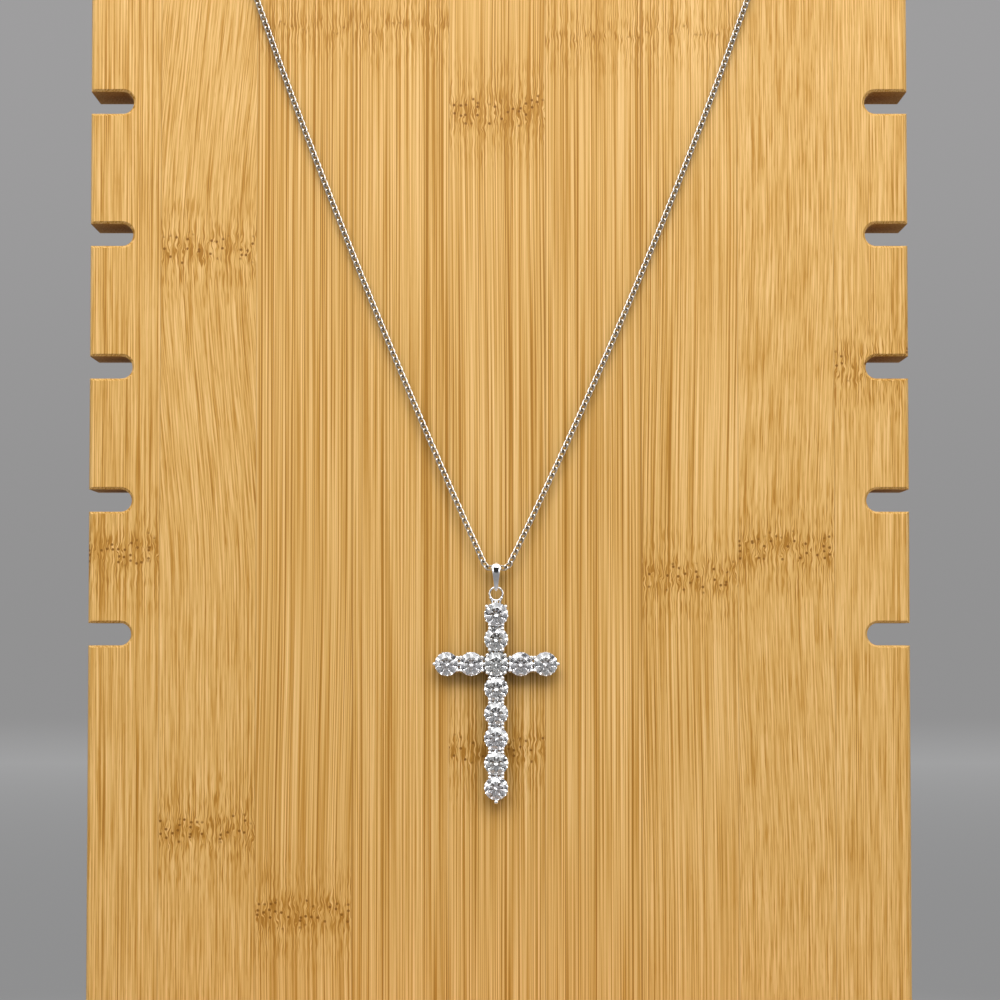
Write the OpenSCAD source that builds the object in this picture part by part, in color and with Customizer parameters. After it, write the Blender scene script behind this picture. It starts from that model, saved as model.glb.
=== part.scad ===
// Cross pendant of twelve round stones, hanging by its chain on an upright notched board.
// Millimetres. X runs to the right, Y to the back and Z up; the origin is under the foot's middle.
// The board's front face looks along -Y.

/* [Board] */
// Width of the board
board_w = 172; // [150:1:200]
// Thickness of the board
board_t = 16; // [12:0.5:22]
// Radius of the board's eased edges
board_ease = 1; // [0.5:0.1:2]
// Plain board between the foot and the middle of the lowest notch
board_plain = 101; // [80:1:120]
// Board above the middle of the highest notch
board_head = 13; // [9:0.5:30]

/* [Notches] */
// Height of a notch
notch_h = 4.7; // [4.4:0.1:6]
// Depth of a notch, to the end of its round root
notch_depth = 9; // [7:0.5:12]
// Distance between the middles of two notches
notch_pitch = 28; // [20:1:32]
// Width of the chamfer round a notch
notch_ease = 0.5; // [0.3:0.1:0.8]

/* [Foot] */
// Depth of the foot, front to back
foot_d = 90; // [60:1:120]
// Height of the foot
foot_t = 16; // [12:0.5:24]
// Radius of the foot's eased edges
foot_ease = 1.5; // [0.5:0.1:3]
// Depth of the groove that the board stands in
groove_depth = 6; // [3:0.5:8]
// Gap between the board and each side of the groove
groove_gap = 0.1; // [0.05:0.05:0.3]

/* [Stones] */
// Diameter of a stone
stone_d = 5; // [4:0.1:6]
// Gap between the edges of two stones
stone_gap = 0.15; // [0.1:0.05:0.3]
// Width of the table as a share of the diameter
table_share = 0.56; // [0.52:0.01:0.64]
// Slope of the crown's main facets, in degrees
crown_angle = 34.5; // [30:0.5:37]
// Slope of the pavilion's main facets, in degrees
pavilion_angle = 40.75; // [39:0.25:43]
// Thickness of the girdle
girdle_t = 0.12; // [0.08:0.01:0.2]
// Length of the star facets as a share of the crown's width
star_share = 0.5; // [0.4:0.05:0.6]
// Length of the lower halves as a share of the radius
lower_share = 0.77; // [0.7:0.01:0.85]

/* [Setting] */
// Gap between a stone and the metal round it
seat_gap = 0.03; // [0.02:0.01:0.06]
// Turn of a stone in its seat against the stone below it, in degrees
stone_turn = 17; // [0:1:45]
// Height of a stone's point above the back of the setting
point_lift = 0.35; // [0.2:0.05:0.8]
// Diameter of a prong
prong_d = 0.8; // [0.6:0.05:0.9]
// Distance of a prong's head outside the stone's edge
prong_out = 0.1; // [0.05:0.01:0.15]
// Angle between an arm's line and the prongs beside it, in degrees
neck_angle = 32; // [28:1:36]
// Angle between the upright line and the top stone's upper prongs, in degrees
crest_angle = 50; // [45:1:60]
// Outer diameter of the lower rail of a basket
low_rail_d = 4.2; // [3.6:0.1:4.4]
// Thickness of a rail, seen from the front
rail_w = 0.4; // [0.3:0.05:0.5]
// Height of a rail, front to back
rail_h = 0.45; // [0.3:0.05:0.6]
// Width of the bridges between two baskets
bridge_w = 0.85; // [0.6:0.05:1.2]
// Width of a web between two baskets' prongs, across the arm
web_w = 0.75; // [0.5:0.05:0.9]
// Length of a web along the arm
web_l = 0.9; // [0.7:0.05:1.2]
// Diameter of the bead at the foot of the cross
drop_d = 1; // [0.8:0.05:1.2]
// Distance of that bead's middle outside the lowest stone's edge
drop_out = 0.4; // [0.35:0.05:0.45]

/* [Jump ring] */
// Inner diameter of the jump ring
ring_hole_d = 2.3; // [2.1:0.1:2.8]
// Diameter of the jump ring's wire
ring_wire_d = 0.45; // [0.35:0.05:0.5]
// Gap between the top stone's edge and the jump ring
ring_lift = 0.2; // [0.1:0.05:0.4]
// Height of the jump ring's middle plane above the back of the setting
ring_level = 1.95; // [1.7:0.05:2.2]
// Diameter of the two beads beside the jump ring
ear_d = 0.75; // [0.6:0.05:0.9]
// Angle between the upright line and those beads, seen from the top stone's middle, in degrees
ear_angle = 18; // [16:1:22]

/* [Bail] */
// Height of the bail
bail_h = 6; // [5:0.1:8]
// Thickness of the bail's strip
bail_wall = 0.45; // [0.35:0.05:0.5]
// Width of the bail's rounded top, seen from the front
bail_top_w = 2.06; // [1.8:0.02:2.1]
// Width of the bail's rounded tip, seen from the front
bail_tip_w = 0.84; // [0.7:0.02:0.9]
// Gap between the bail and the chain
bail_gap = 0.1; // [0.05:0.01:0.15]
// Gap between the bail's tip and the top of the jump ring's hole
ring_play = 0.15; // [0.12:0.01:0.25]
// Gap between the bail and each side of the jump ring's wire
ring_side_gap = 0.12; // [0.08:0.01:0.2]

/* [Chain] */
// Diameter of the chain
chain_d = 1.2; // [1:0.1:1.3]
// Gap between the chain and the board
chain_gap = 0.2; // [0.1:0.05:0.3]
// Gap between the back of the cross and the board
cross_gap = 0.3; // [0.2:0.05:0.6]
// Outer diameter of the clasp's ring
clasp_d = 5.8; // [5:0.1:8]
// Diameter of the clasp ring's wire
clasp_wire_d = 1.2; // [1:0.1:1.3]
// Outer diameter of the clasp's two end eyes
eye_d = 2.2; // [1.8:0.1:2.6]
// Diameter of the eyes' wire
eye_wire_d = 0.6; // [0.4:0.05:0.7]

/* [Hidden] */
ROUND_FN = 64;
WIRE_FN = 32;
ROWS = 9;
STONES_UP = 2;
STONES_DOWN = 5;
STONES_SIDE = 2;
SIDE_TURNS = 4;

// Board and notches
board_bottom = foot_t - groove_depth;
lowest_notch = foot_t + board_plain;
top_notch = lowest_notch + (ROWS - 1) * notch_pitch;
board_top = top_notch + board_head;
foot_w = board_w;
board_h = board_top - board_bottom;
notch_r = notch_h / 2;
root_x = board_w / 2 - notch_depth + notch_r;
overrun = 1;

// Brilliant cut, measured up from the point
stone_r = stone_d / 2;
table_r = stone_r * table_share;
star_r = table_r * cos(22.5) + star_share * (stone_r - table_r * cos(22.5));
lower_r = stone_r * (1 - lower_share);
girdle_low = stone_r * tan(pavilion_angle);
girdle_top = girdle_low + girdle_t;
lower_z = girdle_low - (stone_r - lower_r * cos(22.5)) * tan(pavilion_angle);
star_z = girdle_top + (stone_r - star_r * cos(22.5)) * tan(crown_angle);
table_z = girdle_top + (stone_r - table_r) * tan(crown_angle);
EIGHTHS = [0:7];
SIXTEENTHS = [0:15];

// Setting, measured from its back
pitch = stone_d + stone_gap;
prong_r = prong_d / 2;
prong_reach = stone_r + prong_out;
head_level = point_lift + girdle_top;
prong_start = 0.15;
prong_bite = 0.05;
head_swell = 0.04;
low_rail_r = low_rail_d / 2;
prong_foot = low_rail_r - rail_w / 2 + prong_bite;
high_rail_drop = 0.9;
rail_play = 0.06;
high_rail_level = point_lift + girdle_low - high_rail_drop;
high_rail_r = stone_r - (high_rail_drop - rail_h) / tan(pavilion_angle) + rail_w + rail_play;
bridge_bite = 0.2;
web_bite = 0.1;
web_reach = prong_reach * sin(neck_angle) - web_w / 2 + web_bite;
ring_wire_r = ring_wire_d / 2;
ring_r = ring_hole_d / 2 + ring_wire_r;
ring_v = STONES_UP * pitch + stone_r + ring_lift + ring_r + ring_wire_r;
ear_bite = 0.1;
ear_reach = (ring_v - STONES_UP * pitch) * cos(ear_angle)
    - sqrt(pow(ring_r, 2) - pow((ring_v - STONES_UP * pitch) * sin(ear_angle), 2)) - ear_bite;

// Chain, bail and cross in the row's frame
chain_r = chain_d / 2;
front_y = -(board_t / 2 + chain_gap + chain_r);
back_y = board_t / 2 + chain_gap + chain_r;
hang_y = -(board_t / 2 + cross_gap + ring_level);
hang_x = -0.6;
hang_z = 130.8;
bail_hole_r = chain_r + bail_gap;
bail_top = hang_z + bail_hole_r + bail_wall;
bail_bottom = bail_top - bail_h;
bail_foot_r = ring_wire_r + ring_side_gap + bail_wall;
taper_inset = 0.004;
ring_z = bail_bottom + bail_wall + ring_play - ring_hole_d / 2;
cross_z = ring_z - ring_v;

// The chain's route: across, back, up, and the bend's radius, from one clasp eye to the other.
// Each leg runs straight between its two ends, bellied outwards by a share of its width.
leg_steps = 12;
left_belly = 0.225;
right_belly = 0.31;
left_turn = -2.1;
right_turn = 2.4;
bail_bend = 1.5;
edge_bend = 1.3;
back_sag = 6;
seat_play = 0.05;
seat_in = notch_r - chain_r - seat_play;
front_out = 0.1;
front_x = root_x + front_out;
front_z = top_notch - seat_in;
back_x = root_x - seat_in * sin(45);
back_z = top_notch - seat_in * cos(45);
clasp_r = (clasp_d - clasp_wire_d) / 2;
eye_r = (eye_d - eye_wire_d) / 2;
eye_bite = 0.1;
eye_play = 0.05;
eye_x = clasp_d / 2 + eye_r - eye_bite;
chain_end = eye_x + eye_d / 2 + eye_play;
chain_route = concat(
    back_run(-1, chain_end),
    [[-back_x, back_y, back_z, edge_bend], [-front_x, front_y, front_z, edge_bend]],
    leg(-1, left_turn, left_belly),
    [[hang_x + left_turn, hang_y, hang_z, bail_bend], [hang_x + right_turn, hang_y, hang_z, bail_bend]],
    turned(leg(1, right_turn, right_belly)),
    [[front_x, front_y, front_z, edge_bend], [back_x, back_y, back_z, edge_bend]],
    turned(back_run(1, chain_end)));
bend_steps = 5;
chain_sides = 8;

// Stones by name, with their places across and up in pitches from the crossing
NAME = 0;
ACROSS = 1;
UP = 2;
STONES = concat(
    [["stone_centre", 0, 0]],
    [for (i = [1:STONES_UP]) [str("stone_upper_", i), 0, i]],
    [for (i = [1:STONES_DOWN]) [str("stone_lower_", i), 0, -i]],
    [for (i = [1:STONES_SIDE]) [str("stone_left_", i), -i, 0]],
    [for (i = [1:STONES_SIDE]) [str("stone_right_", i), i, 0]]);

function unit(v) = v / norm(v);
function turned(list) = [for (i = [len(list) - 1:-1:0]) list[i]];
function polar(r, angle, z) = [r * cos(angle), r * sin(angle), z];

// Height of the sagging run behind the board at a distance x from its middle
function back_height(x) = back_z - back_sag * (1 - pow(x / back_x, 2));

// Half of the run behind the board, from the clasp outwards
function back_run(side, start) = [
    for (x = [start, 20, 40, 60]) [side * x, back_y, back_height(x), 0]];

// One leg of the chain, from the notch down to the bail
function leg(side, turn, belly) =
    let (low_x = hang_x + turn, width = side * front_x - low_x, rise = front_z - hang_z)
    [for (i = [leg_steps - 1:-1:1])
        let (q = i / leg_steps)
        [low_x + width * (q + belly * q * (1 - q)),
         front_y + (hang_y - front_y) * pow(1 - q, 6),
         hang_z + rise * q,
         0]];

// Points of a rounded corner at p, between the points a and b
function corner(p, a, b, radius) =
    let (d1 = unit(p - a),
         d2 = unit(b - p),
         turn = acos(d1 * d2),
         start = p - radius * tan(turn / 2) * d1,
         middle = p + unit(d2 - d1) * radius / cos(turn / 2),
         spoke = start - middle)
    [for (k = [0:bend_steps])
        middle + spoke * cos(turn * k / bend_steps) + radius * d1 * sin(turn * k / bend_steps)];

function place(row) = [row[0], row[1], row[2]];

// The route with its corners rounded
function rounded(route) = [
    for (i = [0:len(route) - 1])
        for (p = route[i][3] == 0 ? [place(route[i])]
                : corner(place(route[i]), place(route[i - 1]), place(route[i + 1]), route[i][3]))
            p];

// Directions along a path, and sideways vectors carried along it without twist
function directions(path) = [
    for (i = [0:len(path) - 1])
        unit(path[min(i + 1, len(path) - 1)] - path[max(i - 1, 0)])];
function carried(ways, list) =
    len(list) == len(ways) ? list
    : let (last = list[len(list) - 1], way = ways[len(list)])
      carried(ways, concat(list, [unit(last - way * (last * way))]));

// A round tube with closed ends along a path
module tube(path, radius, sides) {
    ways = directions(path);
    outs = carried(ways, [[0, 0, 1] - ways[0] * ways[0][2]]);
    rings = len(path);
    points = [
        for (i = [0:rings - 1])
            for (k = [0:sides - 1])
                path[i] + radius * (unit(outs[i]) * cos(360 * k / sides)
                    + cross(ways[i], unit(outs[i])) * sin(360 * k / sides))];
    walls = [
        for (i = [0:rings - 2])
            for (k = [0:sides - 1])
                let (a = i * sides + k, b = i * sides + (k + 1) % sides)
                for (face = [[a, a + sides, b + sides], [a, b + sides, b]])
                    face];
    ends = [
        [for (k = [0:sides - 1]) k],
        [for (k = [sides - 1:-1:0]) (rings - 1) * sides + k]];
    polyhedron(points, concat(walls, ends));
}

// A rectangle with rounded corners, centred
module rounded_plate(w, h, r) {
    square([w - 2 * r, h], center = true);
    square([w, h - 2 * r], center = true);
    for (x = [-1, 1], y = [-1, 1])
        translate([x * (w / 2 - r), y * (h / 2 - r)])
            circle(r, $fn = WIRE_FN);
}

// A slab standing on Z = 0 with its long edges and its upright edges eased
module eased_slab(w, d, h, r) {
    intersection() {
        linear_extrude(h)
            rounded_plate(w, d, r);
        translate([-w / 2 - overrun, 0, h / 2])
            rotate([90, 0, 90])
                linear_extrude(w + 2 * overrun)
                    rounded_plate(d, h, r);
    }
}

// The space of one notch at the right side: a slot with a round root and chamfered faces
module notch() {
    reach = board_w / 2 - root_x + overrun;
    rotate([90, 0, 0]) {
        cylinder(h = board_t + 2 * overrun, r = notch_r, center = true, $fn = ROUND_FN);
        for (side = [0, 1])
            mirror([0, 0, side])
                translate([0, 0, board_t / 2 - notch_ease])
                    cylinder(h = notch_ease + overrun, r1 = notch_r,
                        r2 = notch_r + notch_ease + overrun, $fn = ROUND_FN);
    }
    rotate([90, 0, 90])
        linear_extrude(reach)
            polygon([
                for (side = [-1, 1])
                    for (corner = [
                            [-board_t / 2 - overrun, notch_r + notch_ease + overrun],
                            [-board_t / 2 + notch_ease, notch_r],
                            [board_t / 2 - notch_ease, notch_r],
                            [board_t / 2 + overrun, notch_r + notch_ease + overrun]])
                        [-side * corner[0], side * corner[1]]]);
}

module display_board() {
    color([0.84, 0.67, 0.41])
        difference() {
            translate([0, 0, board_bottom])
                eased_slab(board_w, board_t, board_h, board_ease);
            for (i = [0:ROWS - 1], side = [0, 1])
                mirror([side, 0, 0])
                    translate([root_x, 0, lowest_notch + i * notch_pitch])
                        notch();
        }
}

module board_foot() {
    color([0.8, 0.62, 0.37])
        difference() {
            eased_slab(foot_w, foot_d, foot_t, foot_ease);
            translate([-foot_w / 2 - overrun, -board_t / 2 - groove_gap, board_bottom])
                cube([foot_w + 2 * overrun, board_t + 2 * groove_gap, groove_depth + overrun]);
        }
}

module chain() {
    color([0.85, 0.85, 0.87])
        tube(rounded(chain_route), chain_r, chain_sides);
}

module torus(r, wire_r) {
    rotate_extrude($fn = ROUND_FN)
        translate([r, 0])
            circle(wire_r, $fn = WIRE_FN);
}

module clasp() {
    color([0.85, 0.85, 0.87])
        translate([0, back_y, back_height(0)])
            rotate([90, 0, 0]) {
                torus(clasp_r, clasp_wire_d / 2);
                for (side = [-1, 1])
                    translate([side * eye_x, 0, 0])
                        torus(eye_r, eye_wire_d / 2);
            }
}

// A round-ended taper along Z, standing on Y = 0: a large round at the top and a small one at the foot
module taper(h, top_r, foot_r, depth) {
    span = h - top_r - foot_r;
    slope = asin((top_r - foot_r) / span);
    translate([0, h - top_r, 0])
        cylinder(h = depth, r = top_r, center = true, $fn = ROUND_FN);
    translate([0, foot_r, 0])
        cylinder(h = depth, r = foot_r, center = true, $fn = ROUND_FN);
    linear_extrude(depth, center = true)
        polygon([
            for (p = [[-1, h - top_r, top_r], [1, h - top_r, top_r], [1, foot_r, foot_r], [-1, foot_r, foot_r]])
                [p[0] * (p[2] * cos(slope) - taper_inset), p[1] - p[2] * sin(slope)]]);
}

module bail() {
    top_r = bail_hole_r + bail_wall;
    color([0.86, 0.86, 0.88])
        translate([hang_x, hang_y, bail_bottom])
            intersection() {
                rotate([90, 0, 90])
                    difference() {
                        taper(bail_h, top_r, bail_foot_r, bail_top_w + overrun);
                        translate([0, bail_wall, 0])
                            taper(bail_h - 2 * bail_wall, bail_hole_r, bail_foot_r - bail_wall,
                                bail_top_w + 2 * overrun);
                    }
                rotate([90, 0, 0])
                    taper(bail_h, bail_top_w / 2, bail_tip_w / 2, 2 * top_r + overrun);
            }
}

// Puts a shape of the cross, drawn face up with its back on Z = 0, where it hangs
module hung() {
    translate([hang_x, hang_y + ring_level, cross_z])
        rotate([90, 0, 0])
            children();
}

// A round brilliant with its point at the origin and its table up
module brilliant() {
    points = concat(
        [for (k = EIGHTHS) polar(table_r, 45 * k, table_z)],
        [for (k = EIGHTHS) polar(star_r, 45 * k + 22.5, star_z)],
        [for (k = SIXTEENTHS) polar(stone_r, 22.5 * k, girdle_top)],
        [for (k = SIXTEENTHS) polar(stone_r, 22.5 * k, girdle_low)],
        [for (k = EIGHTHS) polar(lower_r, 45 * k + 22.5, lower_z)],
        [[0, 0, 0]]);
    star = 8;
    upper = 16;
    under = 32;
    half = 48;
    culet = 56;
    table = [for (k = [7:-1:0]) k];
    stars = [for (k = EIGHTHS) [k, (k + 1) % 8, star + k]];
    bezels = [for (k = EIGHTHS) [k, star + k, upper + 2 * k, star + (k + 7) % 8]];
    upper_halves = [
        for (k = SIXTEENTHS)
            [star + floor(k / 2), upper + (k + 1) % 16, upper + k]];
    girdle = [for (k = SIXTEENTHS) [under + k, upper + k, upper + (k + 1) % 16, under + (k + 1) % 16]];
    lower_halves = [
        for (k = SIXTEENTHS)
            [half + floor(k / 2), under + k, under + (k + 1) % 16]];
    mains = [for (k = EIGHTHS) [culet, half + (k + 7) % 8, under + 2 * k, half + k]];
    polyhedron(points, concat([table], stars, bezels, upper_halves, girdle, lower_halves, mains));
}

// The space that a stone and its gap take, up to the star facets and open above
module stone_space() {
    rotate_extrude($fn = ROUND_FN)
        polygon([
            [0, -2 * seat_gap],
            [lower_r + seat_gap, lower_z - seat_gap],
            [stone_r + seat_gap, girdle_low - seat_gap],
            [stone_r + seat_gap, girdle_top + seat_gap],
            [star_r, star_z + 2 * seat_gap],
            [0, star_z + 2 * seat_gap]]);
}

module stone(s) {
    color([0.93, 0.95, 0.98])
        hung()
            translate([s[ACROSS] * pitch, s[UP] * pitch, point_lift])
                rotate([0, 0, stone_turn * (s[UP] + SIDE_TURNS * s[ACROSS])])
                    brilliant();
}

// Direction of a stone's arm, away from the crossing, in degrees
function outward(s) = s[UP] > 0 ? 90 : s[UP] < 0 ? 270 : s[ACROSS] > 0 ? 0 : 180;
function ends_arm(s) = s[UP] == STONES_UP || s[UP] == -STONES_DOWN || abs(s[ACROSS]) == STONES_SIDE;

// Directions of a stone's prongs, in degrees
function outer_prongs(s) =
    !ends_arm(s) ? [outward(s) - neck_angle, outward(s) + neck_angle]
    : s[UP] == STONES_UP ? [90 - crest_angle, 90 + crest_angle]
    : s[UP] == -STONES_DOWN ? []
    : [outward(s)];
function prongs(s) =
    s[ACROSS] == 0 && s[UP] == 0 ? [45, 135, 225, 315]
    : concat([outward(s) + 180 - neck_angle, outward(s) + 180 + neck_angle], outer_prongs(s));

// A prong that leans out from the lower rail to a round head on the stone's edge
module prong(angle, reach, d) {
    rise = head_level - prong_start;
    lean = atan((reach - prong_foot) / rise);
    rotate([0, 0, angle]) {
        translate([prong_foot, 0, prong_start])
            rotate([0, lean, 0])
                cylinder(h = norm([rise, reach - prong_foot]), r = prong_r, $fn = WIRE_FN);
        translate([reach, 0, head_level])
            sphere(d = d, $fn = WIRE_FN);
    }
}

module rail(r, level) {
    translate([0, 0, level])
        difference() {
            cylinder(h = rail_h, r = r, $fn = ROUND_FN);
            translate([0, 0, -overrun])
                cylinder(h = rail_h + 2 * overrun, r = r - rail_w, $fn = ROUND_FN);
        }
}

// One stone's basket: two rails and its prongs
module basket(s) {
    rail(low_rail_r, 0);
    rail(high_rail_r, high_rail_level);
    for (angle = prongs(s))
        prong(angle, prong_reach, prong_d + head_swell);
    if (s[UP] == -STONES_DOWN)
        prong(270, stone_r + drop_out, drop_d);
}

// A bar between the rails of two neighbours, centred half a pitch along X
module bridge(r, level) {
    length = pitch - 2 * r + 2 * bridge_bite;
    translate([pitch / 2 - length / 2, -bridge_w / 2, level])
        cube([length, bridge_w, rail_h]);
}

// Everything that joins a stone's basket to its neighbour's, along X
module neck() {
    bridge(low_rail_r, 0);
    bridge(high_rail_r, high_rail_level);
    for (side = [-1, 1])
        translate([pitch / 2 - web_l / 2, side * web_reach - web_w / 2, high_rail_level])
            cube([web_l, web_w, head_level - high_rail_level]);
}

module bridges() {
    for (i = [-STONES_SIDE:STONES_SIDE - 1])
        translate([i * pitch, 0, 0])
            neck();
    for (i = [-STONES_DOWN:STONES_UP - 1])
        translate([0, i * pitch, 0])
            rotate([0, 0, 90])
                neck();
}

// The jump ring, with a solder foot and two beads that hold it to the top basket
module crest() {
    translate([0, ring_v, ring_level])
        torus(ring_r, ring_wire_r);
    translate([0, STONES_UP * pitch, 0]) {
        translate([0, high_rail_r - rail_w / 2, ring_level])
            rotate([-90, 0, 0])
                cylinder(h = ring_v - STONES_UP * pitch - ring_r - high_rail_r + rail_w / 2,
                    r = prong_r, $fn = WIRE_FN);
        for (side = [-1, 1])
            rotate([0, 0, 90 + side * ear_angle]) {
                translate([high_rail_r - rail_w / 2, 0, ring_level])
                    rotate([0, 90, 0])
                        cylinder(h = ear_reach - high_rail_r + rail_w / 2, r = ring_wire_r, $fn = WIRE_FN);
                translate([ear_reach, 0, ring_level])
                    sphere(d = ear_d, $fn = WIRE_FN);
            }
    }
}

module cross_setting() {
    color([0.86, 0.86, 0.88])
        hung()
            difference() {
                union() {
                    for (s = STONES)
                        translate([s[ACROSS] * pitch, s[UP] * pitch, 0])
                            basket(s);
                    bridges();
                    crest();
                }
                for (s = STONES)
                    translate([s[ACROSS] * pitch, s[UP] * pitch, point_lift])
                        stone_space();
            }
}

display_board();
board_foot();
chain();
clasp();
bail();
cross_setting();
for (s = STONES)
    stone(s);
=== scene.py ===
"""Looks of a cross pendant on its curb chain, hung on an upright notched bamboo board.

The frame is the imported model's: X to the right, Y to the back, Z up. The sizes of the shapes below are in
millimetres, and add_mesh turns them into metres.
"""
import math

import bpy
import numpy as np
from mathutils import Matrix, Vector


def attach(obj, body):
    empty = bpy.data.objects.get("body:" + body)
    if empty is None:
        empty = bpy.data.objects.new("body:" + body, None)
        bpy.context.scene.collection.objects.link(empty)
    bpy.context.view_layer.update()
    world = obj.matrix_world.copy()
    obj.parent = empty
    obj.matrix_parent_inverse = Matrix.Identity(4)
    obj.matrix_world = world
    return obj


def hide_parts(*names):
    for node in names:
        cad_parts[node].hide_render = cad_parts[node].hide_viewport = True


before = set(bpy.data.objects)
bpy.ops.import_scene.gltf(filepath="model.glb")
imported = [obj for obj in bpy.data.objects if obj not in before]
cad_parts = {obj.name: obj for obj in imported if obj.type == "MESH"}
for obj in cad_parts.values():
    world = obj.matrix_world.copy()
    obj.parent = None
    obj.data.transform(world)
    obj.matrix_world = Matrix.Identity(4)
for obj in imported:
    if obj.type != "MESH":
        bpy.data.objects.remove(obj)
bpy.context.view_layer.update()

MM = 0.001
PER_MM = 1000.0
TURN = 2 * math.pi

# The chain's route: the middle of the bail's hole, the planes of the runs before and behind the board, and
# the round ends of the top notches, in which the chain lies a seat's depth below the middle.
HANG_X, HANG_Y, HANG_Z = -0.6, -10.25, 130.8
FRONT_Y, BACK_Y = -8.8, 8.8
NOTCH_X, NOTCH_Z, SEAT = 79.35, 341.0, 1.7
FRONT_X, FRONT_Z = NOTCH_X + 0.1, NOTCH_Z - SEAT
BACK_X = NOTCH_X - SEAT * math.sin(math.pi / 4)
BACK_Z = NOTCH_Z - SEAT * math.cos(math.pi / 4)
BAIL_BEND, NOTCH_BEND, BEND_STEPS = 1.5, 1.3, 10
LEG_POINTS = 49
LEG_APPROACH = 6

# The two legs: side of the board, where the leg leaves the bail, how far it bellies outwards as a share of
# its width, and which hand its links are.
LEGS = ((-1, -2.1, 0.225, 1.0), (1, 2.4, 0.31, -1.0))

# The run behind the board: its sag, where it ends, the places it passes, and how the last ones are raised.
BACK_SAG = 6.0
CHAIN_END = 4.75
BACK_PLACES = (60.0, 50.0, 40.0, 30.0, 20.0, 10.0, CHAIN_END)
RAISED_WITHIN, END_RISE = 11.0, 0.1
TURNING_RUN = BACK_X - CHAIN_END - 2

# One link: half its length and width, how far it twists, its wire's radius, its lean and its twist's lag
LINK_HALF, LINK_WIDE, LINK_TWIST, LINK_WIRE = 1.04, 0.43, 0.30, 0.180
LINK_LEAN, LINK_LAG = math.radians(10), math.radians(40)
LINK_PITCH = 1.36
LINK_OUTER = LINK_HALF + LINK_WIRE
LINK_STEPS, LINK_SIDES = 18, 6
MIDDLE_WIDE, MIDDLE_ROLL = 0.465, math.radians(40)
RING_X, RING_R, RING_WIRE, RING_TILT = 4.62, 0.76, 0.14, math.radians(25)
RING_STEPS, RING_SIDES = 24, 8

# The bail: the radii of its loop's two ends and the drop between them, its half widths by height, and its
# section's middle, dome, flat side, squareness and belly
BAIL_TOP_R, BAIL_FOOT_R, BAIL_DROP = 0.7, 0.345, 4.055
BAIL_TOP_STEPS, BAIL_FOOT_STEPS, BAIL_SIDE_STEPS, BAIL_AROUND = 33, 17, 13, 28
BAIL_HEIGHTS, BAIL_WIDTHS = (-4.5, -2.0, 0.1), (0.42, 0.74, 1.03)
BAIL_SHOULDER, BAIL_CROWN, BAIL_CROWN_LEAST = 0.1, 1.03, 0.66
BAIL_MIDDLE, BAIL_DOME, BAIL_FLAT, BAIL_SQUARE = 0.18, 0.34, 0.17, 0.85
BAIL_BELLY, BELLY_TOP, BELLY_HIGH, BELLY_EDGE = 0.30, 0.95, 5.4, 2.5
BAIL_LEAN = 0.25


# Meshes

def add_mesh(name, points, faces, material, body=None, smooth=True):
    """A mesh piece from an N x 3 array in millimetres and an M x K array of corners, riding on a body."""
    mesh = bpy.data.meshes.new(name)
    mesh.vertices.add(len(points))
    mesh.vertices.foreach_set("co", (np.asarray(points, np.float64) * MM).astype(np.float32).ravel())
    mesh.loops.add(faces.size)
    mesh.loops.foreach_set("vertex_index", faces.astype(np.int32).ravel())
    mesh.polygons.add(len(faces))
    mesh.polygons.foreach_set("loop_start", np.arange(0, faces.size, faces.shape[1], dtype=np.int32))
    mesh.polygons.foreach_set("use_smooth", np.full(len(faces), smooth))
    mesh.update(calc_edges=True)
    mesh.validate()
    mesh.materials.append(material)
    piece = bpy.data.objects.new(name, mesh)
    bpy.context.scene.collection.objects.link(piece)
    if body:
        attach(piece, body)
    return piece


def wrapped_quads(rows, columns):
    """Corners of the faces of a grid that closes on itself both ways, rows around and columns across."""
    i, j = np.meshgrid(np.arange(rows), np.arange(columns), indexing="ij")
    i2, j2 = (i + 1) % rows, (j + 1) % columns
    corners = [i * columns + j, i2 * columns + j, i2 * columns + j2, i * columns + j2]
    return np.stack(corners, -1).reshape(-1, 4)


def unit(v):
    """Vectors divided by their lengths."""
    return v / np.linalg.norm(v, axis=-1, keepdims=True)


# The chain's route

def back_height(x):
    """Height of the sagging run behind the board: a parabola, lowest in the middle."""
    return BACK_Z - BACK_SAG * (1 - (x / BACK_X) ** 2)


def leg(side, turn, belly):
    """One leg from the bail up to its notch. Sideways it is a straight line plus belly times q (1 - q), with
    q the share of the height climbed, and it nears the board's face as (1 - q) to a high power."""
    q = np.linspace(0, 1, LEG_POINTS)[1:-1]
    low_x = HANG_X + turn
    wide = side * FRONT_X - low_x
    x = low_x + wide * (q + belly * q * (1 - q))
    y = FRONT_Y + (HANG_Y - FRONT_Y) * (1 - q) ** LEG_APPROACH
    return np.stack([x, y, HANG_Z + (FRONT_Z - HANG_Z) * q], -1)


def corner(p, a, b, radius):
    """Points of an arc of a radius that rounds the corner at p between the points a and b."""
    p, a, b = (np.array(v, float) for v in (p, a, b))
    d1, d2 = unit(p - a), unit(b - p)
    turn = math.acos(float(np.dot(d1, d2)))
    start = p - radius * math.tan(turn / 2) * d1
    middle = p + unit(d2 - d1) * radius / math.cos(turn / 2)
    at = np.linspace(0, turn, BEND_STEPS + 1)[:, None]
    return middle + (start - middle) * np.cos(at) + radius * d1 * np.sin(at)


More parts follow.
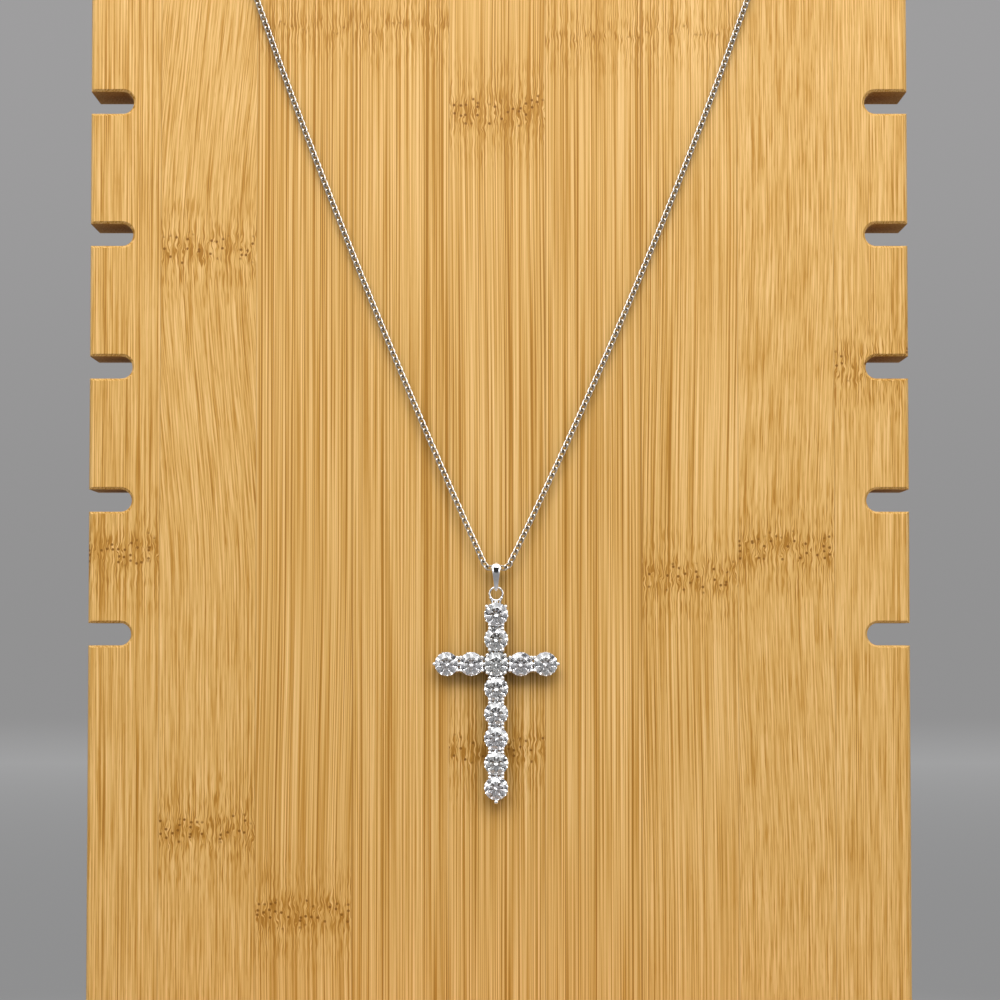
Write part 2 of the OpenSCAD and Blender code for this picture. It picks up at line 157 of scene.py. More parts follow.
def half_route(side, turn, belly):
    """Half of the chain's route, from the middle of the bail's hole to its end at the clasp: the leg, round
    the notch's front and back edges, and the sagging run. Its last points rise a little to the end ring."""
    hole = (HANG_X, HANG_Y, HANG_Z)
    foot = (HANG_X + turn, HANG_Y, HANG_Z)
    front = (side * FRONT_X, FRONT_Y, FRONT_Z)
    back = (side * BACK_X, BACK_Y, BACK_Z)
    up = leg(side, turn, belly)
    xs = np.array(BACK_PLACES)
    height = back_height(xs) + np.where(xs > RAISED_WITHIN, 0, END_RISE)
    behind = np.stack([side * xs, np.full(len(xs), BACK_Y), height], -1)
    return np.concatenate([
        [hole],
        corner(foot, hole, up[0], BAIL_BEND),
        up,
        corner(front, up[-1], back, NOTCH_BEND),
        corner(back, front, behind[0], NOTCH_BEND),
        behind])


def carried_frames(path):
    """Distances along a path, its directions, and outward vectors carried along it without twist. Behind the
    board they turn slowly from upwards to backwards, so that the last link is square to its end ring."""
    steps = np.diff(path, axis=0)
    length = np.concatenate([[0], np.cumsum(np.linalg.norm(steps, axis=1))])
    ways = unit(np.gradient(path, length, axis=0))
    outs = [np.array([0.0, -1.0, 0.0])]
    for way in ways[1:]:
        last = outs[-1]
        outs.append(unit(last - way * np.dot(last, way)))
    backwards = unit(np.array([0.0, 1.0, 0.0]) - ways * ways[:, 1:2])
    left = length[-1] - length
    share = np.where(left < TURNING_RUN, 1 - left / TURNING_RUN, 0)[:, None] * math.pi / 2
    return length, ways, unit(np.cos(share) * np.array(outs) + np.sin(share) * backwards)


def on_route(path, length, ways, outs, s, across, out):
    """Carries points given as distance along, across and out onto a path."""
    def at(values):
        return np.stack([np.interp(s, length, values[:, k]) for k in range(3)], -1)
    way, outward = unit(at(ways)), unit(at(outs))
    return at(path) + across[..., None] * np.cross(outward, way) + out[..., None] * outward


# The links

def curb_link(hand, wide=LINK_WIDE):
    """One twisted link of round wire. Its middle runs x = a cos t, y = b sin t, z = c sin(2 t + lag), and
    then leans over in its own plane. Hand 1 or -1 mirrors it, and 0 makes it flat and straight."""
    t = np.arange(LINK_STEPS) * TURN / LINK_STEPS
    lean = LINK_LEAN * hand
    lag = LINK_LAG * abs(hand)
    side = hand if hand else 1.0
    twist = abs(hand) * LINK_TWIST
    c, s = math.cos(lean), math.sin(lean)
    middle = np.stack([LINK_HALF * np.cos(t), side * wide * np.sin(t), twist * np.sin(2 * t + lag)], -1)
    way = np.stack([-LINK_HALF * np.sin(t), side * wide * np.cos(t), 2 * twist * np.cos(2 * t + lag)], -1)
    turn = np.array([[c, -s, 0], [s, c, 0], [0, 0, 1]])
    middle, way = middle @ turn.T, unit(way @ turn.T)
    lift = unit(np.array([0.0, 0.0, 1.0]) - way * way[:, 2:])
    beside = np.cross(way, lift)
    p = (np.arange(LINK_SIDES) * TURN / LINK_SIDES)[:, None]
    return middle[:, None] + LINK_WIRE * (np.cos(p) * beside[:, None] + np.sin(p) * lift[:, None])


def links_on(path, hand):
    """All the links of one half of the chain, an even pitch apart, bent along its route as one array."""
    length, ways, outs = carried_frames(path)
    last = length[-1] - LINK_OUTER
    count = int(round(last / LINK_PITCH))
    centres = last * np.arange(1, count + 1) / count
    link = curb_link(hand).reshape(-1, 3)
    s = centres[:, None] + link[None, :, 0]
    across = np.broadcast_to(link[None, :, 1], s.shape)
    out = np.broadcast_to(link[None, :, 2], s.shape)
    return on_route(path, length, ways, outs, s, across, out), count


def middle_link():
    """The one link inside the bail: flat, and rolled so that it stands clear of its two neighbours."""
    x, y, z = curb_link(0.0, MIDDLE_WIDE).reshape(-1, 3).T
    c, s = math.cos(MIDDLE_ROLL), math.sin(MIDDLE_ROLL)
    return np.stack([x + HANG_X, y * c - z * s + HANG_Y, y * s + z * c + HANG_Z], -1)


def end_ring(side):
    """A small round ring, tilted, that joins the chain's last link to the clasp's eye: a circle t of radius
    R + r cos p, with r sin p as its height."""
    t = (np.arange(RING_STEPS) * TURN / RING_STEPS)[:, None]
    p = (np.arange(RING_SIDES) * TURN / RING_SIDES)[None, :]
    c, s = math.cos(RING_TILT), math.sin(RING_TILT)
    reach = RING_R + RING_WIRE * np.cos(p)
    wide, lift = reach * np.sin(t), RING_WIRE * np.sin(p) + 0 * t
    x = side * (RING_X + reach * np.cos(t))
    y = BACK_Y + wide * c - lift * s
    z = back_height(CHAIN_END) + wide * s + lift * c
    return np.stack([x, y, z], -1).reshape(-1, 3), wrapped_quads(RING_STEPS, RING_SIDES)[:, ::side]


def build_chain(material):
    """The whole chain as one piece: both halves, the middle link and the end rings. Its attribute, half of 1
    - cos p round each wire, is 1 on the inside of a loop and 0 outside, and marks where the silver gets
      painted shade."""
    halves = [(*links_on(half_route(side, turn, belly), hand), hand) for side, turn, belly, hand in LEGS]
    links = [points.reshape(-1, 3) for points, _, _ in halves] + [middle_link()]
    count = halves[0][1] + halves[1][1] + 1
    points = np.concatenate(links)
    one = wrapped_quads(LINK_STEPS, LINK_SIDES)
    starts = np.arange(count) * LINK_STEPS * LINK_SIDES
    quads = (one[None] + starts[:, None, None]).reshape(-1, 4)
    outer = np.cos(np.arange(LINK_SIDES) * TURN / LINK_SIDES)
    wires = [np.tile(outer * hand, number * LINK_STEPS) for _, number, hand in halves]
    outwards = np.concatenate([*wires, np.tile(outer, LINK_STEPS)])
    for side in (-1, 1):
        ring, faces = end_ring(side)
        quads = np.concatenate([quads, faces + len(points)])
        points = np.concatenate([points, ring])
        round_ring = np.cos(np.arange(RING_SIDES) * TURN / RING_SIDES)
        outwards = np.concatenate([outwards, np.tile(round_ring, RING_STEPS)])
    piece = add_mesh("curb_chain", points, quads, material, "board")
    # the mask of the painted shade on the insides of the links' loops
    painted_shade = piece.data.attributes.new("painted_shade", "FLOAT", "POINT")
    painted_shade.data.foreach_set("value", ((1 - outwards) / 2).astype(np.float32))
    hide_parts("chain")


# The bail

def bail_outline():
    """The loop's inner outline in the YZ plane: a large arc over the chain, a small one at the foot, and
    their two tangents. Gives points and outward normals."""
    slope = math.asin((BAIL_TOP_R - BAIL_FOOT_R) / BAIL_DROP)
    q = np.linspace(0, 1, BAIL_SIDE_STEPS + 2)[1:-1]
    taper = BAIL_TOP_R + (BAIL_FOOT_R - BAIL_TOP_R) * q
    turn = np.concatenate([
        np.linspace(-slope, math.pi + slope, BAIL_TOP_STEPS),
        np.full(BAIL_SIDE_STEPS, math.pi + slope),
        np.linspace(math.pi + slope, TURN - slope, BAIL_FOOT_STEPS),
        np.full(BAIL_SIDE_STEPS, TURN - slope)])
    radius = np.concatenate([
        np.full(BAIL_TOP_STEPS, BAIL_TOP_R),
        taper,
        np.full(BAIL_FOOT_STEPS, BAIL_FOOT_R),
        taper[::-1]])
    low = np.concatenate([
        np.zeros(BAIL_TOP_STEPS),
        -BAIL_DROP * q,
        np.full(BAIL_FOOT_STEPS, -BAIL_DROP),
        -BAIL_DROP * q[::-1]])
    normal = np.stack([np.cos(turn), np.sin(turn)], -1)
    return normal * radius[:, None] + np.stack([0 * low, low], -1), normal


def build_bail(material):
    """The bail: a domed strip carried round the outline. Its section is an oval, flat towards the hole, as
    wide as the front view's tapered shape at each height, and its front bellies out by half a sine."""
    inner, normal = bail_outline()
    height = inner[:, 1] + BAIL_LEAN * normal[:, 1]
    taper = np.interp(height, BAIL_HEIGHTS, BAIL_WIDTHS)
    above = np.clip(height - BAIL_SHOULDER, 0, None)
    crown = np.sqrt(np.clip(BAIL_CROWN ** 2 - above ** 2, BAIL_CROWN_LEAST ** 2, None))
    wide = np.minimum(taper, crown)
    turn = np.arange(BAIL_AROUND) * TURN / BAIL_AROUND
    c, s = np.cos(turn), np.sin(turn)
    across = np.sign(c) * np.abs(c) ** BAIL_SQUARE
    rise = BAIL_MIDDLE + np.where(s > 0, BAIL_DOME * s, BAIL_FLAT * s)
    belly = np.clip(-normal[:, 0], 0, 1) * np.sin(math.pi * np.clip((BELLY_TOP - height) / BELLY_HIGH, 0, 1))
    rise = rise[None] + BAIL_BELLY * belly[:, None] * np.clip(BELLY_EDGE * s, 0, 1)[None]
    x = HANG_X + wide[:, None] * across[None]
    yz = inner[:, None] + normal[:, None] * rise[..., None]
    points = np.stack([x, HANG_Y + yz[..., 0], HANG_Z + yz[..., 1]], -1)
    faces = wrapped_quads(len(inner), BAIL_AROUND)[:, ::-1]
    piece = add_mesh("polished_bail", points.reshape(-1, 3), faces, material, "bail")
    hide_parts("bail")


# Short calls for nodes

class Finish:
    """The nodes of one material, with a short call for each kind."""

    def __init__(self, name):
        self.material = bpy.data.materials.new(name)
        self.material.use_nodes = True
        self.nodes = self.material.node_tree.nodes
        self.links = self.material.node_tree.links
        self.shader = self.nodes["Principled BSDF"]
        self.place = self.nodes.new("ShaderNodeTexCoord").outputs["Object"]

    def put(self, value, socket):
        """Sets a socket to a constant, or links it to another node's output."""
        if isinstance(value, bpy.types.NodeSocket):
            self.links.new(value, socket)
        else:
            socket.default_value = value

    def set(self, **values):
        """Sets the shader's own sockets, with _ for a space in their names."""
        for name, value in values.items():
            self.put(value, self.shader.inputs[name.replace("_", " ")])

    def math(self, operation, *values):
        """One of Blender's operations on numbers."""
        node = self.nodes.new("ShaderNodeMath")
        node.operation = operation
        for value, socket in zip(values, node.inputs):
            self.put(value, socket)
        return node.outputs[0]

    def plus(self, first, *rest):
        """The sum of two or more values."""
        for value in rest:
            first = self.math("ADD", first, value)
        return first

    def less(self, a, b):
        """The difference of two values."""
        return self.math("SUBTRACT", a, b)

    def times(self, first, *rest):
        """The product of two or more values."""
        for value in rest:
            first = self.math("MULTIPLY", first, value)
        return first

    def size(self, value):
        """A value without its sign."""
        return self.math("ABSOLUTE", value)

    def vector(self, x, y, z):
        """Three values as one vector."""
        node = self.nodes.new("ShaderNodeCombineXYZ")
        for value, socket in zip((x, y, z), node.inputs):
            self.put(value, socket)
        return node.outputs[0]

    def parts(self, vector):
        """The three parts of a vector."""
        node = self.nodes.new("ShaderNodeSeparateXYZ")
        self.put(vector, node.inputs[0])
        return node.outputs

    def axes(self, scale):
        """The three object coordinates, multiplied by a scale."""
        node = self.nodes.new("ShaderNodeVectorMath")
        node.operation = "SCALE"
        self.put(self.place, node.inputs[0])
        node.inputs["Scale"].default_value = scale
        return self.parts(node.outputs[0])

    def facing(self):
        """The three parts of the direction a face points in, in the object's own axes."""
        return self.parts(self.place.node.outputs["Normal"])

    def noise(self, place, scale=1.0, detail=2.0, roughness=0.5, flat=False):
        """Noise of so many cells a unit, in 3D or flat in 2D."""
        node = self.nodes.new("ShaderNodeTexNoise")
        node.noise_dimensions = "2D" if flat else "3D"
        self.put(place, node.inputs["Vector"])
        node.inputs["Scale"].default_value = scale
        node.inputs["Detail"].default_value = detail
        node.inputs["Roughness"].default_value = roughness
        return node.outputs[0]

    def span(self, value, low, high, to_low=0.0, to_high=1.0):
        """Maps low..high smoothly onto to_low..to_high, and holds the ends."""
        node = self.nodes.new("ShaderNodeMapRange")
        node.interpolation_type = "SMOOTHSTEP"
        names = ("Value", "From Min", "From Max", "To Min", "To Max")
        for given, name in zip((value, low, high, to_low, to_high), names):
            self.put(given, node.inputs[name])
        return node.outputs[0]

    def fall(self, value, low, high):
        """1 below low, 0 above high, and smooth between them."""
        return self.span(value, low, high, 1.0, 0.0)

    def ramp(self, value, stops, constant=False):
        """The colour of a table of places and colours at a value, in steps where constant."""
        node = self.nodes.new("ShaderNodeValToRGB")
        ramp = node.color_ramp
        ramp.interpolation = "CONSTANT" if constant else "LINEAR"
        while len(ramp.elements) < len(stops):
            ramp.elements.new(1.0)
        for element, (at, colour) in zip(ramp.elements, stops):
            element.position = at
            element.color = (*colour, 1.0)
        self.put(value, node.inputs[0])
        return node.outputs[0]

    def split(self, colour):
        """The three parts of a colour."""
        node = self.nodes.new("ShaderNodeSeparateColor")
        self.put(colour, node.inputs[0])
        return node.outputs

    def mix(self, share, a, b, blend="MIX"):
        """Colour a, turned by a share into colour b or into what a blend makes of both."""
        node = self.nodes.new("ShaderNodeMix")
        node.data_type = "RGBA"
        node.blend_type = blend
        self.put(share, node.inputs[0])
        for value, socket in ((a, node.inputs[6]), (b, node.inputs[7])):
            self.put((*value, 1.0) if isinstance(value, tuple) else value, socket)
        return node.outputs[2]

    def pick(self, share, a, b):
        """Shader a, turned by a share into shader b."""
        node = self.nodes.new("ShaderNodeMixShader")
        for value, socket in zip((share, a, b), node.inputs):
            self.put(value, socket)
        return node.outputs[0]

    def bump(self, height, distance, strength):
        """Shades the surface as if it stood out by the height times the distance, in metres."""
        node = self.nodes.new("ShaderNodeBump")
        node.inputs["Strength"].default_value = strength
        node.inputs["Distance"].default_value = distance
        self.put(height, node.inputs["Height"])
        self.set(Normal=node.outputs[0])


# Bamboo

# The board's strips from left to right: tone, strength of the fine lines, lean of the fibres, and the
# heights of two marked knuckles and a faint one above the floor. A height of 500 is above the board.
STRIPS = (
    (0.53, 0.56, 0.0, 134, 500, 284),
    (0.52, 0.44, 1.0, 198, 76, 322),
    (0.455, 0.98, 0.2, 59, 500, 245),
    (0.48, 0.84, 0.0, 500, 500, 245),
    (0.50, 0.92, 0.1, 227, 93, 340),
    (0.49, 0.90, 0.0, 330, 500, 243),
    (0.52, 0.66, 0.2, 129, 500, 244),
    (0.54, 0.34, 0.4, 135, 500, 290),
    (0.54, 0.46, 0.0, 173, 318, 500))
STRIP_WIDE, STRIP_START, PLY = 20.2, 9.7, 5.333
FIRST_STRIP, STRIPS_A_PLY = 5.5, 3.0
SEED_A_STRIP, SEED_A_PLY = 13.7, 51.3
TALL = 500.0

# Noise stretched along the fibres: cells a millimetre across and along them, octaves, and their roughness
GRAINS = {
    "wander": (0.3, 0.03, 1.0, 0.5),
    "pull": (0.8, 0.35, 1.0, 0.5),
    "broad": (0.3, 0.002, 1.0, 0.5),
    "lines": (2.7, 0.003, 1.6, 0.7),
    "hairs": (3.1, 1.0, 1.0, 0.6),
    "short": (3.7, 0.20, 1.0, 0.6),
    "relief": (2.0, 0.02, 0.0, 0.5)}
DEEP_ACROSS, DEEP_ALONG = 0.6, 0.8

# How far a knuckle wanders and pulls the fibres, how far they lean, and how much each grain changes the tone
WANDER, FAINT_KNUCKLE, LEAN_WIDE, LEAN_HIGH = 6.0, 2.6, 5.0, 75.0
PULL_AROUND, PULL_KNUCKLE = 0.4, 0.9
BROAD_TONE, LINE_TONE, DARK_LINE, HAIR_FAINT, HAIR_STRONG = 0.18, 0.60, -0.36, 1.0, 1.35
DASH_AROUND, DASH_KNUCKLE, SPECK_TONE, KNUCKLE_TONE = -0.30, -0.36, 0.20, 0.05
BAMBOO_TONES = (
    (0.05, (0.362, 0.157, 0.013)),
    (0.26, (0.478, 0.229, 0.031)),
    (0.50, (0.630, 0.364, 0.100)),
    (0.68, (0.728, 0.446, 0.156)),
    (0.92, (0.840, 0.545, 0.232)))
DOT_CELLS, DOT_RANDOM, DOTS_LEFT_OUT, DOT_STRENGTH = 0.8, 0.95, 0.64, 0.95

# Where each thing starts and ends: by distance from a knuckle, by contrast, by noise, and by place in a cell.
# Where there are four numbers, the last two are its values at the start and at the end.
KNUCKLE_NEAR, AROUND_NEAR, DOTS_NEAR = (1.0, 4.6), (2.0, 17.0), (1.8, 3.4)
HAIR_LENGTHS, HAIR_CONTRAST = (0.35, 0.75, 0.07, 0.015), (0.4, 0.9)
LINE_MIDDLE, LINE_TAIL, DASH_TAIL, SPECK_TAIL = 0.47, (0.32, 0.43), (0.34, 0.52), (0.32, 0.42)
DOT_EDGE, GLUE_EDGE, GLUE_STRENGTH = (0.15, 0.31), (0.488, 0.499), 0.40
CUT_FACING, CUT_ROUGHNESS, BAMBOO_ROUGHNESS = (0.75, 0.95), 0.3, (0.2, 0.8, 0.52, 0.42)
# The last colour darkens the faces cut across the fibres: darker end grain, and painted shade on the notches'
# upper and lower walls.
DOT_COLOUR, GLUE_COLOUR, END_GRAIN_AND_SHADE_COLOUR = (0.21, 0.075, 0.0), (0.36, 0.19, 0.05), (0.66, 0.60, 0.46)


def bamboo(name, across_axis, along_axis, ply_axis, ply_start):
    """Laminated bamboo: strips side by side, in three plies. Noise stretched along the strip gives the
    fibres, its low tails give thin dark lines, and short noise and dots give the knuckles. Each strip's own
    tone, lean and knuckles come from STRIPS."""
    f = Finish(name)
    axes = f.axes(PER_MM)
    across, rise = axes[across_axis], axes[along_axis]
    deep = f.less(axes[ply_axis], ply_start)
    ply = f.math("FLOOR", f.math("DIVIDE", deep, PLY))
    place = f.math("DIVIDE", f.less(across, STRIP_START), STRIP_WIDE)
    strip = f.math("FLOOR", place)
    seed = f.plus(f.times(strip, SEED_A_STRIP), f.times(ply, SEED_A_PLY))

    def grain(kind, x, along=rise):
        """One of the grains. The depth below the face shifts it both ways, so that the sides show long lines
        as well, and the ends show specks."""
        fine, long, detail, roughness = GRAINS[kind]
        u = f.plus(f.times(x, fine), seed, f.times(deep, DEEP_ACROSS * fine))
        v = f.plus(f.times(along, long), f.times(deep, DEEP_ALONG * fine))
        return f.noise(f.vector(u, v, 0.0), 1.0, detail, roughness, flat=True)

    # the strip's row of the table, as two colours
    count = float(len(STRIPS))
    row = f.math("WRAP", f.plus(strip, FIRST_STRIP, f.times(ply, STRIPS_A_PLY)), count, 0.0)
    row = f.math("DIVIDE", row, count)
    looks = [(k / count, strip_row[:3]) for k, strip_row in enumerate(STRIPS)]
    heights = [(k / count, tuple(h / TALL for h in strip_row[3:])) for k, strip_row in enumerate(STRIPS)]
    tone, contrast, lean = f.split(f.ramp(row, looks, constant=True))[:3]
    knots = f.split(f.ramp(row, heights, constant=True))[:3]

    # distance to the nearest of the strip's knuckles
    height = f.plus(rise, f.times(f.less(grain("wander", across), 0.5), WANDER))
    away = [f.less(height, f.times(knot, TALL)) for knot in knots]
    marked = f.math("MINIMUM", f.size(away[0]), f.size(away[1]))
    near = f.math("MINIMUM", marked, f.plus(f.size(away[2]), FAINT_KNUCKLE))
    knuckle = f.fall(near, *KNUCKLE_NEAR)
    around = f.fall(near, *AROUND_NEAR)

    # fibres: pulled sideways at a knuckle, and leaning above it
    strength = f.plus(f.times(around, PULL_AROUND), f.times(knuckle, PULL_KNUCKLE))
    pull = f.times(f.less(grain("pull", across), 0.5), strength)
    bend = f.times(lean, LEAN_WIDE, f.span(f.size(away[0]), 0.0, LEAN_HIGH))
    x = f.plus(f.less(across, bend), pull)
    lines, short = grain("lines", x), grain("short", x)
    hairs = grain("hairs", x, f.times(rise, f.span(contrast, *HAIR_LENGTHS)))

    # tone: the strip's own, and what each grain adds or takes
    dark_lines = f.times(f.fall(lines, *LINE_TAIL), DARK_LINE)
    wave = f.times(f.plus(f.times(f.less(lines, LINE_MIDDLE), LINE_TONE), dark_lines), contrast)
    hair = f.times(f.less(hairs, 0.5), f.span(contrast, *HAIR_CONTRAST, HAIR_FAINT, HAIR_STRONG))
    marks = f.plus(f.times(around, DASH_AROUND), f.times(knuckle, DASH_KNUCKLE))
    dashes = f.times(f.fall(short, *DASH_TAIL), marks)
    specks = f.times(f.fall(short, *SPECK_TAIL), f.times(f.less(contrast, 1.0), SPECK_TONE))
    level = f.plus(tone, f.times(f.less(grain("broad", x), 0.5), BROAD_TONE), wave, hair, dashes, specks)
    level = f.less(level, f.times(knuckle, KNUCKLE_TONE))
    colour = f.ramp(level, BAMBOO_TONES)

    # dots of the knuckles: the middles of the cells of a Voronoi pattern
    cells = f.nodes.new("ShaderNodeTexVoronoi")
    cells.voronoi_dimensions = "2D"
    cells.inputs["Scale"].default_value = 1.0
    cells.inputs["Randomness"].default_value = DOT_RANDOM
    spot = f.vector(f.plus(f.times(across, DOT_CELLS), seed), f.times(rise, DOT_CELLS), 0.0)
    f.put(spot, cells.inputs["Vector"])
    kept = f.math("GREATER_THAN", f.split(cells.outputs["Color"])[0], DOTS_LEFT_OUT)
    dots = f.times(f.fall(cells.outputs["Distance"], *DOT_EDGE), f.fall(near, *DOTS_NEAR), kept)
    colour = f.mix(f.times(dots, DOT_STRENGTH), colour, DOT_COLOUR)

    # glue lines between the strips
    edge = f.size(f.less(f.math("FRACT", place), 0.5))
    colour = f.mix(f.span(edge, *GLUE_EDGE, 0.0, GLUE_STRENGTH), colour, GLUE_COLOUR)

    # faces cut across the fibres are darker and rougher: the end grain's own darker colour, which also paints
    # shade on the notches' upper and lower walls
    end_grain_and_shade = f.span(f.size(f.facing()[along_axis]), *CUT_FACING)
    colour = f.mix(end_grain_and_shade, colour, END_GRAIN_AND_SHADE_COLOUR, "MULTIPLY")
    f.set(Base_Color=colour, Specular_IOR_Level=0.35)
    f.set(Roughness=f.plus(f.span(level, *BAMBOO_ROUGHNESS), f.times(end_grain_and_shade, CUT_ROUGHNESS)))
    f.bump(grain("relief", across), 0.05 * MM, 0.5)
    return f.material


# Silver and stone

# Noises as cells a millimetre, octaves and their roughness, and where in a noise each change starts and ends
HANDLING, TRACES, STONE_TINT, STONE_POLISH = (0.9, 3.0, 0.6), (6.0, 2.0, 0.5), (0.12, 0.0), (1.5, 1.0)
WORN_TONE, WORN_POLISH, WORN_SHARE = (0.35, 0.7), (0.3, 0.75), 0.93
# The first two of the next line give the painted shade on the insides of the chain's loops: where it starts
# and ends, and its colour.
PAINTED_SHADE_EDGE, PAINTED_SHADE_COLOUR, TRACE_DEEP = (0.5, 0.95), (0.16, 0.14, 0.115), 0.01 * MM
COOL_STONE, WARM_STONE = (0.97, 0.965, 1.0), (0.985, 1.0, 0.985)


def silver(name, colour, roughness, wear, painted_shade=False):
    """Polished silver: fine noise gives faint differences in polish, and a still finer one a trace of bump.
    On the links an attribute, 1 on the inside of a loop and 0 outside, darkens the metal there: painted
    shade, where the wires of the links shade one another."""
    f = Finish(name)
    place = f.vector(*f.axes(PER_MM))
    handling = f.noise(place, *HANDLING)
    tone = f.mix(f.span(handling, *WORN_TONE), colour, tuple(part * WORN_SHARE for part in colour))
    if painted_shade:
        # painted shade on the insides of the links' loops
        inside = f.nodes.new("ShaderNodeAttribute")
        inside.attribute_name = "painted_shade"
        tone = f.mix(f.span(inside.outputs["Fac"], *PAINTED_SHADE_EDGE), tone, PAINTED_SHADE_COLOUR)
    f.set(Base_Color=tone, Metallic=1.0)
    f.set(Roughness=f.span(handling, *WORN_POLISH, roughness, roughness + wear))
    f.bump(f.noise(place, *TRACES), TRACE_DEEP, 0.25)
    return f.material


def clear_stone(name):
    """Colourless stone: clear, strongly refracting, with a faint change of tint from stone to stone."""
    f = Finish(name)
    axes = f.axes(PER_MM)
    tint = f.noise(f.vector(axes[0], 0.0, axes[2]), *STONE_TINT)
    colour = f.mix(f.span(tint, 0.4, 0.6), COOL_STONE, WARM_STONE)
    polish = f.span(f.noise(f.vector(*axes), *STONE_POLISH), 0.3, 0.7, 0.0, 0.012)
    f.set(Base_Color=colour, Roughness=polish, Transmission_Weight=1.0, IOR=2.15)
    return f.material


def coat(node, material):
    """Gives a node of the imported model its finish."""
    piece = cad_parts[node]
    if not piece.material_slots:
        piece.data.materials.append(material)
    for k, slot in enumerate(piece.material_slots):
        slot.link = "DATA"
        piece.data.materials[k] = material


coat("display_board", bamboo("bamboo_of_the_board", 0, 2, 1, -8.05))
coat("board_foot", bamboo("bamboo_of_the_foot", 1, 0, 2, -0.05))
build_chain(silver("silver_of_the_chain", (0.73, 0.69, 0.63), 0.30, 0.08, painted_shade=True))
coat("clasp", silver("silver_of_the_clasp", (0.66, 0.64, 0.605), 0.16, 0.10))
build_bail(silver("silver_of_the_bail", (0.94, 0.94, 0.95), 0.05, 0.04))
coat("cross_setting", silver("silver_of_the_setting", (0.74, 0.735, 0.73), 0.12, 0.08))
stone = clear_stone("clear_faceted_stone")
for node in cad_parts:
    if node.startswith("stone_"):
        coat(node, stone)


# Floor, light and camera, in metres

WHITE = (1.0, 1.0, 1.0, 1.0)
FLOOR_COLOUR = (0.40, 0.40, 0.405)
FLOOR_R, FLOOR_SIDES = 20.0, 64
BACKDROP_TOP = (0.345, 0.341, 0.345)
BACKDROP_MIDDLE = (0.287, 0.285, 0.287)
BACKDROP_FLOOR = (0.356, 0.356, 0.360)
BACKDROP_LOW = (0.276, 0.276, 0.279)

# Where each light starts and ends, with its strength at both where there are four numbers
BACKDROP_RISE, FLOOR_FADE, FLOOR_GLOW = (-0.02, 0.22), (0.35, 4.0), (0.12, 0.40)
TENT, STUDIO_FRONT, LENS_EDGE = (-0.1, 0.9, 0.01, 0.275), (-0.25, 0.25, 0.12, 1.0), (0.83, 0.95)
STUDIO_LOW, STUDIO_HIGH = 0.03, 2.9
PANEL_CELLS, PANEL_EDGE, PANEL_SHARE, GAP_SHARE = 3.6, (0.46, 0.51), 0.9, 0.1

# The lamps: name, place, width, height and watts
SOFTBOXES = (
    ("softbox_top", (0.0, -0.42, 0.60), 0.8, 0.40, 4.05),
    ("softbox_back", (0.35, 0.95, 0.75), 0.9, 0.6, 9.0),
    ("softbox_left", (-0.9, -0.75, 0.45), 0.5, 0.9, 1.0),
    ("softbox_right", (0.9, -0.75, 0.45), 0.5, 0.9, 1.0))
LAMP_TARGET = (0, 0, 0.15)
CAMERA_PLACE, CAMERA_RISE, CAMERA_LENS = (0.0002, -0.640, 0.1162), 2.617, 108.7


def build_floor():
    """A pale level floor, a round of triangles about its middle, that fades into the backdrop's grey: away
    from its middle it glows instead of being lit, which is painted light.
    """
    f = Finish("pale_floor")
    f.set(Base_Color=(*FLOOR_COLOUR, 1.0), Roughness=0.9)
    # painted light: the glow's grey is darkest in front of the board and up to 0.35 m behind it, lightest
    # about two metres back, and the backdrop's middle grey four metres back
    glow = f.nodes.new("ShaderNodeEmission")
    greys = [(0.0, BACKDROP_LOW), (0.5, BACKDROP_FLOOR), (1.0, BACKDROP_MIDDLE)]
    f.put(f.ramp(f.span(f.axes(1.0)[1], *FLOOR_FADE), greys), glow.inputs["Color"])
    far = f.nodes.new("ShaderNodeVectorMath")
    far.operation = "LENGTH"
    f.put(f.place, far.inputs[0])
    both = f.pick(f.span(far.outputs["Value"], *FLOOR_GLOW), f.shader.outputs[0], glow.outputs[0])
    f.put(both, f.nodes["Material Output"].inputs[0])
    side = np.arange(FLOOR_SIDES)
    turn = side * TURN / FLOOR_SIDES
    rim = np.stack([np.cos(turn), np.sin(turn), 0 * turn], -1) * FLOOR_R / MM
    faces = np.stack([0 * side, side + 1, (side + 1) % FLOOR_SIDES + 1], -1)
    add_mesh("floor", np.concatenate([[(0, 0, 0)], rim]), faces, f.material, smooth=False)


class Sky(Finish):
    """The same short calls for the nodes of the world. Its place is the direction looked in."""

    def __init__(self, name):
        self.world = bpy.data.worlds.new(name)
        self.world.use_nodes = True
        self.nodes = self.world.node_tree.nodes
        self.links = self.world.node_tree.links
        self.nodes.clear()
        self.place = self.nodes.new("ShaderNodeTexCoord").outputs["Generated"]

    def light(self, colour, strength=1.0):
        """Light of a colour and strength from far away."""
        node = self.nodes.new("ShaderNodeBackground")
        self.put(colour, node.inputs["Color"])
        self.put(strength, node.inputs["Strength"])
        return node.outputs[0]


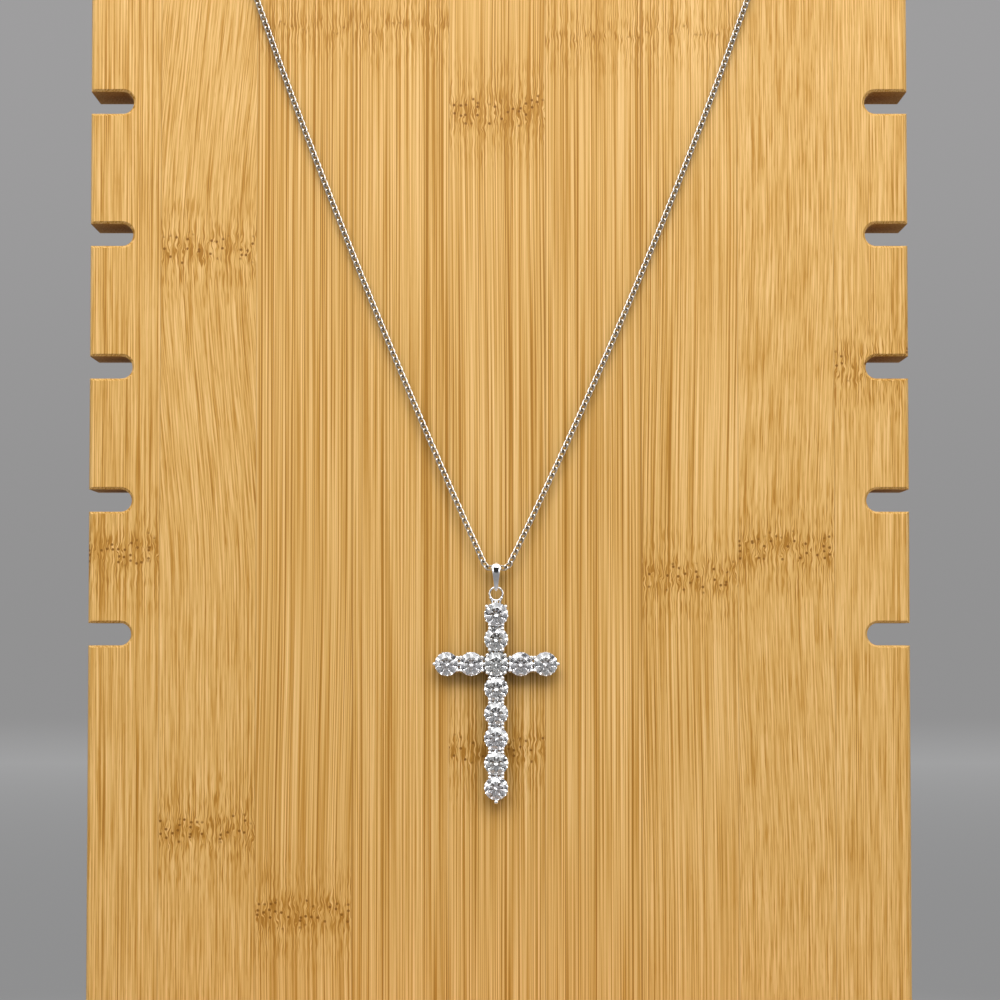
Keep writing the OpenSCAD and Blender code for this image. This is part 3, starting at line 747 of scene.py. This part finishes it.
def build_backdrop():
    """The camera sees an even grey backdrop. Matt surfaces see a soft tent, bright above and dim below.
    Polished and clear ones see a studio: bright panels in front and above, with dark gaps and a dark place
    for the lens."""
    sky = Sky("studio")
    axes = sky.axes(1.0)
    greys = [(0.0, BACKDROP_MIDDLE), (1.0, BACKDROP_TOP)]
    seen = sky.light(sky.ramp(sky.span(axes[2], *BACKDROP_RISE), greys))
    tent = sky.light(WHITE, sky.span(axes[2], *TENT))
    front = sky.times(axes[1], -1.0)
    panels = sky.span(sky.noise(sky.place, PANEL_CELLS, 1.0), *PANEL_EDGE)
    lens = sky.fall(front, *LENS_EDGE)
    gain = sky.plus(sky.times(panels, PANEL_SHARE), GAP_SHARE)
    bright = sky.times(sky.span(front, *STUDIO_FRONT), lens, gain)
    studio = sky.light(WHITE, sky.plus(sky.times(bright, STUDIO_HIGH), STUDIO_LOW))
    path = sky.nodes.new("ShaderNodeLightPath")
    lit = sky.pick(path.outputs["Is Diffuse Ray"], studio, tent)
    everything = sky.pick(path.outputs["Is Camera Ray"], lit, seen)
    sky.put(everything, sky.nodes.new("ShaderNodeOutputWorld").inputs[0])
    sky.world.cycles.sampling_method = "MANUAL"
    sky.world.cycles.sample_map_resolution = 256
    bpy.context.scene.world = sky.world


def add_softbox(name, place, wide, high, watts):
    """A soft lamp, turned to face the pendant and unseen by the camera."""
    data = bpy.data.lights.new(name, "AREA")
    data.shape = "RECTANGLE"
    data.size = wide
    data.size_y = high
    data.energy = watts
    lamp = bpy.data.objects.new(name, data)
    bpy.context.scene.collection.objects.link(lamp)
    lamp.location = place
    lamp.rotation_euler = (Vector(LAMP_TARGET) - Vector(place)).to_track_quat("-Z", "Y").to_euler()
    lamp.visible_camera = False


def build_camera():
    """The camera, level with the cross and tilted slightly upwards as in the photograph."""
    data = bpy.data.cameras.new("camera")
    data.lens = CAMERA_LENS
    data.sensor_width = 36.0
    data.clip_start = 0.01
    data.clip_end = 100.0
    camera = bpy.data.objects.new("camera", data)
    bpy.context.scene.collection.objects.link(camera)
    camera.location = CAMERA_PLACE
    camera.rotation_euler = (math.radians(90 + CAMERA_RISE), 0.0, 0.0)
    bpy.context.scene.camera = camera


build_floor()
build_backdrop()
for softbox in SOFTBOXES:
    add_softbox(*softbox)
build_camera()

scene = bpy.context.scene
scene.view_settings.view_transform = "Standard"
scene.cycles.max_bounces = 24
scene.cycles.diffuse_bounces = 2
scene.cycles.glossy_bounces = 16
scene.cycles.transmission_bounces = 16
scene.cycles.caustics_reflective = False
scene.cycles.caustics_refractive = False
